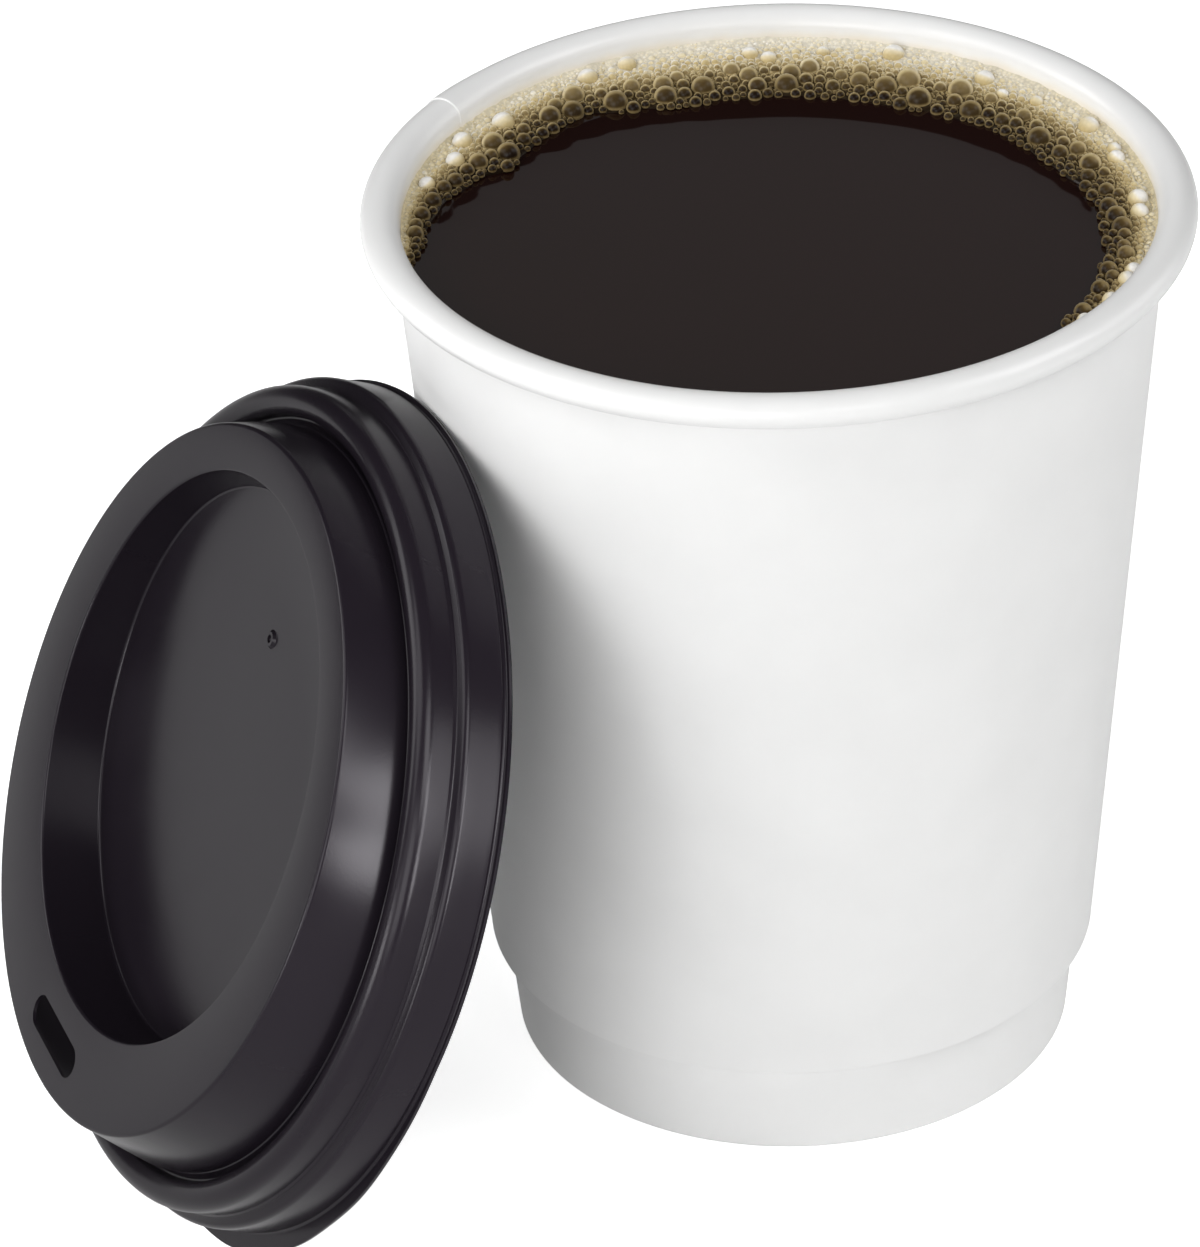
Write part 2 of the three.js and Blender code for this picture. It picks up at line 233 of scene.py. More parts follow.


# a warm tan tint on the inside wall, just above the froth
def warmTintNear(nodes, links, place, color, warmTint):
    split = nodes.new("ShaderNodeSeparateXYZ")
    links.new(place, split.inputs["Vector"])
    wobble = noiseFrom(nodes, links, place, warmTint["wobbleScale"], detail=4.0)
    height = addNode(nodes, "ShaderNodeMath", operation="MULTIPLY_ADD")
    height.inputs[1].default_value = -warmTint["wobble"] * mm
    links.new(wobble, height.inputs[0])
    links.new(split.outputs["Z"], height.inputs[2])
    fade = mapFrom(nodes, links, height.outputs["Value"], "SMOOTHSTEP", From_Min=warmTint["low"] * mm,
                   From_Max=warmTint["high"] * mm, To_Min=warmTint["strength"], To_Max=0.0)
    # only on the side where the froth lies
    towards = math.radians(warmTint["towards"])
    middle = Vector((math.cos(towards), math.sin(towards), 0))
    side = addNode(nodes, "ShaderNodeVectorMath", operation="DOT_PRODUCT")
    side.inputs[1].default_value = middle
    links.new(place, side.inputs[0])
    near = middle.dot(Vector((cupX, cupY, 0)))
    where = mapFrom(nodes, links, side.outputs["Value"], "SMOOTHSTEP",
                    From_Min=near + warmTint["from"] * mm, From_Max=near + warmTint["to"] * mm)
    # not on the foot, far below the drink
    above = mapFrom(nodes, links, split.outputs["Z"], "SMOOTHSTEP",
                    From_Min=warmTint["under"] * mm, From_Max=warmTint["low"] * mm)
    # nor on the outer face of the roll
    flat = addNode(nodes, "ShaderNodeVectorMath", operation="MULTIPLY_ADD")
    flat.inputs[1].default_value = (1, 1, 0)
    flat.inputs[2].default_value = (-cupX, -cupY, 0)
    links.new(place, flat.inputs[0])
    radius = addNode(nodes, "ShaderNodeVectorMath", operation="LENGTH")
    links.new(flat.outputs["Vector"], radius.inputs[0])
    inside = mapFrom(nodes, links, radius.outputs["Value"], "SMOOTHSTEP", From_Min=warmTint["within"] * mm,
                     From_Max=warmTint["goneAt"] * mm, To_Min=1.0, To_Max=0.0)
    share = fade
    for limit in (above, inside, where):
        share = product(nodes, links, share, limit)
    return mixColors(nodes, links, share, color, (*warmTint["color"], 1))


# thermoformed sheet: dark, satin, with a faint uneven gloss
def plasticMaterial(look):
    mat, nodes, links, shader = newMaterial("lidPlastic")
    place = nodes.new("ShaderNodeTexCoord").outputs["Object"]
    haze = noiseFrom(nodes, links, place, look["hazeScale"], detail=3.0)
    grain = noiseFrom(nodes, links, place, look["grainScale"], detail=2.0)
    links.new(rampFrom(nodes, links, haze, look["ramp"]), shader.inputs["Base Color"])
    smoothest, roughest = look["roughness"]
    rough = mapFrom(nodes, links, haze, From_Min=0.3, From_Max=0.7, To_Min=smoothest, To_Max=roughest)
    links.new(rough, shader.inputs["Roughness"])
    links.new(bumpFrom(nodes, links, grain, look["grainDepth"], look["grainReach"]), shader.inputs["Normal"])
    setInputs(shader, IOR=look["ior"], Specular_IOR_Level=look["specular"],
              Specular_Tint=(*look["specularTint"], 1))
    return mat


def coffeeMaterial(look):
    mat, nodes, links, shader = newMaterial("blackCoffee")
    place = nodes.new("ShaderNodeTexCoord").outputs["Object"]
    swirl = noiseFrom(nodes, links, place, look["swirlScale"], detail=2.0)
    links.new(rampFrom(nodes, links, swirl, look["ramp"]), shader.inputs["Base Color"])
    setInputs(shader, Roughness=look["roughness"], IOR=look["ior"])
    return mat


# a bubble's thin film is clear face on and shows its light tan edge on: partly the film's own tan colour,
# partly a painted sheen standing in for the light the film reflects at grazing angles
def filmEdge(nodes, links, color, look):
    paint = addNode(nodes, "ShaderNodeAttribute", attribute_name="film")
    edgeColor = rampFrom(nodes, links, paint.outputs["Fac"], look["ramp"])
    glass = nodes.new("ShaderNodeLayerWeight")
    glass.inputs["Blend"].default_value = 0.5
    clearTo, fullFrom = look["film"]
    # painted sheen: Layer Weight's facing mixes in the light edge colour where the film is seen edge on
    filmAndSheen = mapFrom(nodes, links, glass.outputs["Facing"], "SMOOTHSTEP", From_Min=clearTo, From_Max=fullFrom)
    return mixColors(nodes, links, filmAndSheen, color, edgeColor)


# wet froth: the paint comes from each vertex, with cells between whose borders are painted darker as shade in
# the creases
def frothMaterial(name, look):
    mat, nodes, links, shader = newMaterial(name)
    place = nodes.new("ShaderNodeTexCoord").outputs["Object"]
    tint = addNode(nodes, "ShaderNodeAttribute", attribute_name="tint")
    color = rampFrom(nodes, links, tint.outputs["Fac"], look["ramp"])
    if look.get("film"):
        color = filmEdge(nodes, links, color, look)
    cells = addNode(nodes, "ShaderNodeTexVoronoi", feature="F1")
    setInputs(cells, Scale=look["cellScale"])
    links.new(place, cells.inputs["Vector"])
    middle, border = look["cellSpan"]
    # painted shade at the cells' borders, which also bumps the surface
    shade = mapFrom(nodes, links, cells.outputs["Distance"], From_Min=middle, From_Max=border,
                    To_Min=1.0, To_Max=look["cellShade"])
    color = mixColors(nodes, links, 1.0, color, shade, "MULTIPLY")
    links.new(color, shader.inputs["Base Color"])
    links.new(bumpFrom(nodes, links, shade, look["cellDepth"], look["cellReach"]), shader.inputs["Normal"])
    setInputs(shader, Roughness=look["roughness"], IOR=look["ior"], Specular_IOR_Level=look["specular"],
              Coat_Weight=look["coat"], Coat_Roughness=look["coatRoughness"], Sheen_Weight=look["sheen"],
              Sheen_Roughness=look["sheenRoughness"], Sheen_Tint=(*look["sheenTint"], 1))
    return mat


# noise scales are per metre, and the reach of a bump is in metres
paperLook = {"grainScale": 5200, "grainRough": 0.6, "grainDepth": 0.06, "grainReach": 0.0001,
             "cloudScale": 90, "ramp": ((0.3, (0.85, 0.85, 0.845)), (0.7, (0.88, 0.88, 0.875))),
             "roughness": (0.41, 0.53), "specular": 0.4, "coat": 0.15, "coatRoughness": 0.3}
warmTintLook = {"color": (0.72, 0.58, 0.33), "strength": 0.45, "wobble": 1.2, "wobbleScale": 260,
             # heights over the table, radii from the cup's axis and reach towards the froth, in mm
             "under": 84.0, "low": 88.2, "high": 89.6, "within": 36.6, "goneAt": 36.9,
             "towards": 64, "from": -16, "to": 4}
insideLook = dict(paperLook, coat=0.4, coatRoughness=0.22, warmTint=warmTintLook)
plasticLook = {"hazeScale": 40, "ramp": ((0.0, (0.0056, 0.0043, 0.0062)), (1.0, (0.0084, 0.0065, 0.0092))),
               "grainScale": 4200, "grainDepth": 0.05, "grainReach": 0.0001, "roughness": (0.2, 0.27),
               "ior": 1.5, "specular": 0.17, "specularTint": (0.98, 0.95, 1.0)}
coffeeLook = {"swirlScale": 30, "ramp": ((0.0, (0.0085, 0.0028, 0.002)), (1.0, (0.0125, 0.004, 0.0032))),
              "roughness": 0.03, "ior": 1.33}
frothLook = {"ramp": ((0.0, (0.012, 0.006, 0.003)), (0.25, (0.085, 0.055, 0.02)), (0.5, (0.31, 0.23, 0.105)),
                      (0.72, (0.60, 0.48, 0.25)), (0.88, (0.81, 0.71, 0.48)), (1.0, (0.94, 0.92, 0.88))),
             "cellScale": 2600, "cellSpan": (0.1, 0.75), "cellShade": 0.75, "cellDepth": 0.4,
             "cellReach": 0.0003, "roughness": 0.38, "ior": 1.33, "specular": 0.3,
             "coat": 0.1, "coatRoughness": 0.05,
             "sheen": 0.3, "sheenRoughness": 0.35, "sheenTint": (1.0, 0.88, 0.6)}
bubbleLook = dict(frothLook, cellShade=0.9, cellDepth=0.06, roughness=0.3, specular=0.22, coat=0.0,
                  film=(0.22, 0.52))

boardOutside = paperMaterial("sleeveBoard", paperLook)
boardInside = paperMaterial("innerBoard", insideLook)
lidPlastic = plasticMaterial(plasticLook)
blackCoffee = coffeeMaterial(coffeeLook)
frothSkin = frothMaterial("frothSkin", frothLook)
bubbleFilm = frothMaterial("bubbleFilm", bubbleLook)
print("materials done")


# paper cup

cup = {
    "board": 0.3, "gap": 0.3,
    "rimRadius": 40.0, "rimHeight": 91.7, "rollWidth": 3.75, "rollHeight": 3.2, "rollTurn": 310,
    "rollTrim": 0.035,               # the sheet's mitred corners grow outward by about this much
    "wallLevels": (8, 8.6, 30, 50, 70, 84, 87, 88.5), "sleeveLevels": (80, 60, 40, 20),
    "footRadius": 27.4, "hemHeight": 6.2, "hemFlat": 0.5,
    "baseHeight": 8.0, "baseTuck": 1.2, "baseCorner": 0.8,
    "sleeveBottom": 10.3, "airGap": 1.15, "sleeveCurl": 250,
    "innerSeam": 127.0, "sleeveSeam": 70.0, "lap": 7.0, "lapPressed": 0.7, "cutWidth": 0.12,
    "turnSteps": 192, "discSteps": 128, "sharp": 38,
}
cup["mouthRadius"] = cup["rimRadius"] - cup["rollWidth"] + cup["board"]
cup["rollLevel"] = cup["rimHeight"] - cup["rollHeight"] / 2
cup["slope"] = (cup["mouthRadius"] - cup["footRadius"]) / cup["rollLevel"]


def wallOutside(z):
    return cup["footRadius"] + cup["slope"] * z


def wallInside(z):
    return wallOutside(z) - cup["board"]


# turns the faces so that the largest one looks away from the axis, or up if it is level
def faceOutward(bm):
    face = max(bm.faces, key=lambda f: f.calc_area())
    middle = face.calc_center_median()
    side = face.normal.x * middle.x + face.normal.y * middle.y
    if abs(face.normal.z) > 0.9:
        side = face.normal.z
    if side < 0:
        bmesh.ops.reverse_faces(bm, faces=bm.faces)


# a turned sheet with one narrow column where the lapped edge is cut
def seamSheet(section, seamAngle, radius):
    cut = math.degrees(cup["cutWidth"] / radius)
    bm = spinSection(section, cup["turnSteps"], start=seamAngle + cut, turn=360 - cut)
    last = [v for v in bm.verts if abs((angleOf(v.co) - seamAngle + 180) % 360 - 180) < cut / 4]
    edges = [e for e in bm.edges if e.verts[0] in last and e.verts[1] in last]
    bmesh.ops.spin(bm, geom=last + edges, cent=(0, 0, 0), axis=(0, 0, 1), dvec=(0, 0, 0),
                   angle=math.radians(cut), steps=1, use_merge=False, use_duplicate=False)
    bmesh.ops.remove_doubles(bm, verts=bm.verts, dist=1e-6)
    bmesh.ops.recalc_face_normals(bm, faces=bm.faces)
    faceOutward(bm)
    return bm


# gives a turned sheet its board, twice as thick at the lapped edge
def sheetPiece(name, bm, material, node, offset, seamAngle=None, lapRows=None):
    ob = makeObject(name, bm, material, [node])
    if seamAngle is None:
        addThickness(ob, cup["board"], offset)
    else:
        addThickness(ob, 2 * cup["board"], offset).vertex_group = lapGroup(ob, seamAngle, lapRows)
    applyModifiers(ob, cup["sharp"])
    ob.data.transform(cupPlace)
    return ob


# weight 0.5 is one board, climbing to nearly two boards at the pressed cut edge
def lapGroup(ob, seamAngle, lapRows):
    rows = [item.value for item in ob.data.attributes["row"].data]
    group = ob.vertex_groups.new(name="lap")
    lapDegrees = math.degrees(cup["lap"] / cup["mouthRadius"])
    for v in ob.data.vertices:
        back = (seamAngle - angleOf(v.co) + 0.01) % 360
        weight = 0.5
        if lapRows(rows[v.index]) and back <= lapDegrees:
            weight = cup["lapPressed"] - (cup["lapPressed"] - 0.5) * back / lapDegrees
        group.add([v.index], weight, "REPLACE")
    return group.name


def innerCup():
    board, half = cup["board"], cup["board"] / 2
    hemInset = 2 * board + 2 * cup["gap"]
    fold = (hemInset - cup["hemFlat"]) / 2
    foot = wallOutside(half + fold) - half
    hemRise = cup["slope"] * (cup["hemHeight"] - half - fold)
    rollWide = cup["rollWidth"] / 2
    rollFlat = (cup["rollHeight"] / 2 - board) / (rollWide - board)
    # the face towards the air gap, from the hem's top round the fold and up into the roll
    section = [(foot - hemInset - half + hemRise, cup["hemHeight"])]
    section += arc(foot - hemInset + fold, half + fold, fold + half, 180, 270, 5)
    section += arc(foot - fold, half + fold, fold + half, 270, 360, 5)
    lower = len(section)
    section += [(wallOutside(z), z) for z in cup["wallLevels"]]
    section += arc(cup["rimRadius"] - cup["rollTrim"] - rollWide, cup["rollLevel"], rollWide - board,
                   180, 180 - cup["rollTurn"], 36, rollFlat)
    bm = seamSheet(section, cup["innerSeam"], cup["mouthRadius"])
    return sheetPiece("innerCup", bm, boardInside, "inner_cup", -1,
                      cup["innerSeam"], lambda row: row > lower)


def baseDisc():
    half = cup["board"] / 2
    edge = wallInside(cup["baseHeight"]) - cup["gap"]
    corner = cup["baseCorner"] + half
    section = [(0, cup["baseHeight"]), (12, cup["baseHeight"])]
    section += arc(edge - corner, cup["baseHeight"] - corner, corner, 90, 0, 6)
    section += [(wallInside(cup["baseTuck"]) - cup["gap"], cup["baseTuck"])]
    bm = spinSection(section, cup["discSteps"])
    faceOutward(bm)
    return sheetPiece("baseDisc", bm, boardInside, "base_disc", -1)


def outerSleeve():
    board, half = cup["board"], cup["board"] / 2
    top = cup["rimHeight"] - cup["rollHeight"] - cup["gap"]
    bottom = cup["sleeveBottom"]
    topRadius = wallOutside(top) + cup["gap"]
    bottomRadius = wallOutside(bottom) + cup["airGap"]
    curl = (cup["airGap"] + board - cup["gap"]) / 2 - half
    level = bottom + curl + half
    lean = topRadius - bottomRadius
    # the face towards the inner wall, from under the roll down into the curl
    section = [(bottomRadius + lean * (z - bottom) / (top - bottom), z)
               for z in (top, *cup["sleeveLevels"], level)]
    straight = len(section)
    section += arc(section[-1][0] - curl, level, curl - half, 0, -cup["sleeveCurl"], 14)[1:]
    bm = seamSheet(section, cup["sleeveSeam"], topRadius)
    return sheetPiece("outerSleeve", bm, boardOutside, "outer_sleeve", 1,
                      cup["sleeveSeam"], lambda row: row < straight)


innerCup()
baseDisc()
outerSleeve()
print("paper pieces done", clock())


# froth, whose inner edge also shapes the coffee

froth = {
    "widths": ((-74, 0.1), (-64, 0.9), (-56, 3.0), (-45, 3.7), (-29, 4.8), (-18, 5.2), (-5, 6.6), (5, 7.9),
               (20, 8.1), (33, 9.3), (45, 10.1), (70, 10.3), (90, 10.1), (100, 8.4), (108, 6.5), (120, 6.7),
               (133, 7.2), (141, 4.6), (150, 3.4), (160, 2.0), (172, 0.3), (178, 0.1)),
    "thinnest": 0.15,                # the band is never narrower
    "wander": 0.55, "wanderScale": 3.6,
    "calmUnder": 3,                  # a band narrower than this wanders less
    # height over the coffee at the wall and at the inner edge, and the extra climb just at the wall
    "wallRise": 1.2, "edgeRise": 0.42, "climb": 0.25, "climbWithin": 0.08,
    "fullFrom": 2.6,                 # narrower than this, the band is lower too
    "outer": 36, "wide": 10,         # the plain ring that the bed is made from
    "steps": 460, "rows": 26, "clearance": 0.04, "sunk": 0.05, "lumps": 0.16, "lumpScale": 0.9,
    # paint, from 0 for the darkest to 1 for the lightest
    "lightest": 65,                  # degrees round to the lightest part
    "paleTo": 0.2, "paleMore": 0.2, "brownOver": 0.56, "brownCurve": 0.9, "brown": 0.6, "dimmer": 0.09,
    # the bed shows in the gaps between the bubbles and is painted darker there, more so towards the inner
    # edge: painted shade
    "bedGapShade": 0.06, "bedShade": 0.3, "bedShadeFrom": 0.3, "bedShadeOver": 0.3,
    "seed": 7,
}


# width of the band, in mm
def bandWidth(angle):
    keys = froth["widths"]
    for (a0, w0), (a1, w1) in zip(keys, keys[1:]):
        if a0 <= angle <= a1:
            t = (angle - a0) / (a1 - a0)
            return w0 + (w1 - w0) * t * t * (3 - 2 * t)
    return froth["thinnest"]


# the same with a wandering inner edge
def frothWidth(angle):
    width = bandWidth(angle)
    around = Vector((math.cos(math.radians(angle)), math.sin(math.radians(angle)), 0))
    drift = noise.noise(around * froth["outer"] / froth["wanderScale"]) * froth["wander"]
    return max(froth["thinnest"], width + drift * min(1, width / froth["calmUnder"]))


# coffee

drink = {
    "level": 87.8, "clearance": 0.06, "lowClearance": 0.1, "shoulder": 0.4,
    # the climb at the wall
    "meniscus": 0.35, "meniscusReach": 1.6, "meniscusRings": 8,
    # the pull of the froth, full where its band is pullFrom wide
    "pull": 0.36, "pullReach": 2.2, "pullFrom": 10.0, "blend": (-16, -8, 0, 8, 16),
    "ringStep": 0.35, "ringsTo": 19.0, "steps": 240,
}


def coffee():
    low = cup["baseHeight"] + cup["gap"]
    level = drink["level"]
    edge = wallInside(level) - drink["clearance"]
    section = [(0, low), (wallInside(low) - drink["lowClearance"], low), (edge, level - drink["shoulder"])]
    # the surface climbs a little where it wets the wall
    for i in range(drink["meniscusRings"] + 1):
        t = i / drink["meniscusRings"]
        section.append((edge - drink["meniscusReach"] * t, level + drink["meniscus"] * (1 - t) ** 3))
    flat = edge - drink["meniscusReach"]
    rings = int((flat - drink["ringsTo"]) / drink["ringStep"])
    section += [(flat - drink["ringStep"] * (i + 1), level) for i in range(rings)]
    section += [(14, level), (8, level), (0, level)]
    bm = spinSection(section, drink["steps"])
    # and it is drawn up a little to the froth's inner edge
    for v in bm.verts:
        if v.co.z < (level - drink["shoulder"] / 2) * mm:
            continue
        angle = signedAngleOf(v.co)
        width = sum(bandWidth(angle + step) for step in drink["blend"]) / len(drink["blend"])
        away = max(0, edge - width - math.hypot(v.co.x, v.co.y) / mm)
        lift = drink["pull"] * min(1, width / drink["pullFrom"]) * math.exp(-away / drink["pullReach"])
        v.co.z = max(v.co.z, (level + lift) * mm)
    ob = makeObject("drinkSurface", bm, blackCoffee, ["coffee"], sharp=50)
    ob.data.transform(cupPlace)
    return ob


coffee()
print("coffee done", clock())


# froth bed and bubbles

# height over the coffee; across is 0 at the wall and 1 at the inner edge
def frothHeight(angle, across):
    across = min(max(across, 0), 1)
    climb = froth["climb"] * max(0, 1 - across / froth["climbWithin"]) ** 2
    height = froth["edgeRise"] + (froth["wallRise"] - froth["edgeRise"]) * (1 - across) ** 0.7 + climb
    return height * min(1, bandWidth(angle) / froth["fullFrom"])


# a point on the froth's surface, in the cup's frame
def frothPoint(angle, across):
    a = math.radians(angle)
    z = drink["level"] + frothHeight(angle, across)
    r = wallInside(z) - froth["clearance"] - across * frothWidth(angle)
    return Vector((r * math.cos(a), r * math.sin(a), z))


# how light the froth is: cream at the wall, brown at the inner edge, and lightest at the back
def paintFor(across, angle):
    back = max(0, math.cos(math.radians(angle - froth["lightest"])))
    past = (across - froth["paleTo"] - froth["paleMore"] * back) / froth["brownOver"]
    browner = min(1, max(0, past)) ** froth["brownCurve"]
    return 1.0 - froth["brown"] * browner - froth["dimmer"] * (1 - back)


# a plain ring, 1 mm high, whose vertices then move to the froth's surface and to its underside
def frothBed():
    first, last = froth["widths"][0][0], froth["widths"][-1][0]
    rows, outer, wide = froth["rows"], froth["outer"], froth["wide"]
    section = [(outer - wide * i / rows, 1) for i in range(rows + 1)] + [(outer - wide, 0), (outer, 0)]
    bm = spinSection(section, froth["steps"], start=first, turn=last - first, closed=True)
    bmesh.ops.holes_fill(bm, edges=[e for e in bm.edges if e.is_boundary], sides=0)
    tint = bm.verts.layers.float.new("tint")
    for v in bm.verts:
        angle = signedAngleOf(v.co)
        across = (outer - math.hypot(v.co.x, v.co.y) / mm) / wide
        p = frothPoint(angle, across)
        if v.co.z > 0.5 * mm:
            lump = noise.noise(p / froth["lumpScale"]) + 0.5 * noise.noise(p / froth["lumpScale"] * 2.3)
            p.z += froth["lumps"] * lump
        else:
            p.z = drink["level"] - froth["sunk"]
        v.co = p * mm
        # painted shade in the gaps between the bubbles: the bed is darker, more so towards the inner edge
        shade = min(1, max(0, (across - froth["bedShadeFrom"]) / froth["bedShadeOver"]))
        v[tint] = paintFor(across, angle) - froth["bedGapShade"] - froth["bedShade"] * shade
    bmesh.ops.recalc_face_normals(bm, faces=bm.faces)
    ob = makeObject("frothBed", bm, frothSkin, ["coffee_foam"], sharp=60)
    ob.data.transform(cupPlace)
    return ob


# how many tries and how many to make, the range of radius and of place across the band, how far it is
# raised in radii, how much darker its middle is than its film, how strong the painted highlight on its top,
# segments and rings
bubbleKinds = (
    {"tries": 140, "count": 22, "radius": (0.65, 1.3), "across": (0.14, 0.4),
     "raise": -0.05, "dark": 0.06, "paleHighlight": 0.32, "cut": (28, 14)},
    {"tries": 1500, "count": 62, "radius": (0.7, 1.3), "across": (0.52, 0.86),
     "raise": 0.0, "dark": 0.36, "paleHighlight": 0.0, "cut": (28, 14)},
    {"tries": 5000, "count": 260, "radius": (0.4, 0.78), "across": (0.56, 1.0),
     "raise": 0.0, "dark": 0.42, "paleHighlight": 0.0, "cut": (20, 10)},
    {"tries": 9000, "count": 620, "radius": (0.26, 0.5), "across": (0.1, 1.02),
     "raise": 0.0, "dark": 0.34, "paleHighlight": 0.0, "cut": (14, 8)},
    {"tries": 16000, "count": 1100, "radius": (0.17, 0.28), "across": (0.04, 0.95),
     "raise": 0.0, "dark": 0.15, "paleHighlight": 0.0, "cut": (10, 6)},
    {"tries": 20000, "count": 1100, "radius": (0.1, 0.17), "across": (0.0, 0.8),
     "raise": 0.0, "dark": 0.05, "paleHighlight": 0.0, "cut": (8, 4)},
)
bubble = {
    "endMargin": 2,                  # degrees kept free at the froth's two ends
    "wideBand": 9,                   # the largest radius is only for a band as wide as this
    "mostOfWidth": 0.35, "mostPlus": 0.12,
    "intoWall": 0.2,                 # share of its radius that may stand in the wall's place
    "apart": 0.93,                   # of the sum of two radii
    "cell": 2.0,                     # of the grid in which neighbours are looked up
    "flatBelow": -0.35,              # where the sphere is cut off
    "batch": 30,                     # made at a time
    # paint: the film, the darker middle and its crown, painted lighter as light on the top, how much lighter
    # the wall's side is painted as light falling there, and the underside painted darker as shade
    "filmFrom": 0.16, "filmSpan": 0.8, "filmChance": 0.1, "filmWallSideLight": 0.16,
    "darkFrom": 0.1, "darkOver": 0.35, "darkChance": (0.75, 0.4), "wallSideLight": 0.05, "undersideShade": 0.1,
    "crownLean": 0.55, "crownPaintedLight": (1.15, 1.05),
    # the pale bubbles: their film's own colour, the range of the painted highlight on the top, and painted
    # light on the wall's side
    "milkFilm": 0.78, "paleHighlightChance": (0.6, 0.7), "paleWallSideLight": 0.08,
    "sinkWithin": 0.38, "sink": 0.7,
}


# bubbles of every kind, the large ones first, none far into another
def packBubbles():
    draw = random.Random(froth["seed"])
    cell = bubble["cell"]
    grid = {}
    packed = []
    first, last = froth["widths"][0][0], froth["widths"][-1][0]
    for kind in bubbleKinds:
        made = 0
        for _ in range(kind["tries"]):
            if made >= kind["count"]:
                break
            angle = draw.uniform(first + bubble["endMargin"], last - bubble["endMargin"])
            across = draw.uniform(*kind["across"])
            size = draw.uniform(*kind["radius"])
            smallest, largest = kind["radius"]
            width = frothWidth(angle)
            size = min(size, smallest + (largest - smallest) * width / bubble["wideBand"])
            if size > bubble["mostOfWidth"] * width + bubble["mostPlus"]:
                continue
            p = frothPoint(angle, across)
            if math.hypot(p.x, p.y) + size > wallInside(p.z) + bubble["intoWall"] * size:
                continue
            key = (int(p.x // cell), int(p.y // cell))
            near = [other for i in range(-2, 3) for j in range(-2, 3)
                    for other in grid.get((key[0] + i, key[1] + j), ())]
            if any((p.x - q.x) ** 2 + (p.y - q.y) ** 2 < (bubble["apart"] * (size + reach)) ** 2
                   for q, reach, *_ in near):
                continue
            one = (p, size, across, kind, draw.random())
            grid.setdefault(key, []).append(one)
            packed.append(one)
            made += 1
    return packed


def domeTemplate(bm, segments, rings):
    made = bmesh.ops.create_uvsphere(bm, u_segments=segments, v_segments=rings, radius=1.0)
    faces = {f for v in made["verts"] for f in v.link_faces}
    edges = {e for f in faces for e in f.edges}
    cut = bmesh.ops.bisect_plane(bm, geom=made["verts"] + list(edges) + list(faces),
                                 plane_co=(0, 0, bubble["flatBelow"]), plane_no=(0, 0, 1),
                                 clear_inner=True, dist=1e-5)
    return [g for g in cut["geom"] if g.is_valid]


def withChance(limits, chance):
    least, more = limits
    return least + more * chance


# one batch of bubbles of the same kind, as a mesh
def bubbleBatch(batch):
    bm = bmesh.new()
    tint = bm.verts.layers.float.new("tint")
    film = bm.verts.layers.float.new("film")
    template = domeTemplate(bm, *batch[0][3]["cut"])
    for p, size, across, kind, chance in batch:
        copy = bmesh.ops.duplicate(bm, geom=template)["geom"]
        verts = [g for g in copy if isinstance(g, bmesh.types.BMVert)]
        paint = paintFor(across, math.degrees(math.atan2(p.y, p.x)))
        rim = bubble["filmFrom"] + bubble["filmSpan"] * paint + bubble["filmChance"] * (chance - 0.5)
        inside = min(1, max(0, across - bubble["darkFrom"]) / bubble["darkOver"])
        deep = inside * kind["dark"] * withChance(bubble["darkChance"], chance)
        paleHighlight = kind["paleHighlight"] * withChance(bubble["paleHighlightChance"], chance)
        full, crownLit = bubble["crownPaintedLight"]
        outward = Vector((p.x, p.y, 0)).normalized()
        crown = (Vector((0, 0, 1)) + bubble["crownLean"] * outward).normalized()
        if kind["paleHighlight"]:
            rim = bubble["milkFilm"]
        for v in verts:
            lean = v.co.dot(outward)
            top = max(0, v.co.dot(crown))
            # the pale bubbles are painted with a white highlight on the top and painted light on the wall's
            # side
            if kind["paleHighlight"]:
                v[film] = v[tint] = rim + paleHighlight * top + bubble["paleWallSideLight"] * lean
                continue
            # the film is painted lightest at the top of the side towards the wall, as light falling there
            v[film] = rim + bubble["filmWallSideLight"] * lean
            # the middle is darker; its crown is painted lighter as light on the top, and the wall's side as
            # light falling there
            v[tint] = rim - deep * (full - crownLit * top ** 3) + bubble["wallSideLight"] * lean
            # painted shade under the bubble
            if v.co.z < 0.05:
                v[tint] = rim - bubble["undersideShade"]
        # the fine bubbles at the wall lie deeper
        sunk = 0.0 if kind["paleHighlight"] else bubble["sink"] * max(0, 1 - across / bubble["sinkWithin"])
        place = Matrix.Translation((p.x * mm, p.y * mm, (p.z + (kind["raise"] - sunk) * size) * mm))
        bmesh.ops.transform(bm, matrix=place @ Matrix.Scale(size * mm, 4), verts=verts)
    bmesh.ops.delete(bm, geom=[g for g in template if isinstance(g, bmesh.types.BMVert)], context="VERTS")
    mesh = bpy.data.meshes.new("batch")
    bm.to_mesh(mesh)
    bm.free()
    return mesh


def bubbleObject(name, packed, material):
    bm = bmesh.new()
    for kind in bubbleKinds:
        own = [one for one in packed if one[3] is kind]
        for i in range(0, len(own), bubble["batch"]):
            mesh = bubbleBatch(own[i:i + bubble["batch"]])
            bm.from_mesh(mesh)
            bpy.data.meshes.remove(mesh)
    ob = makeObject(name, bm, material)
    ob.data.transform(cupPlace)
    return ob


frothBed()
bubbles = packBubbles()
bubbleObject("bubbles", bubbles, bubbleFilm)
print("froth done:", len(bubbles), "bubbles", clock())


# lid

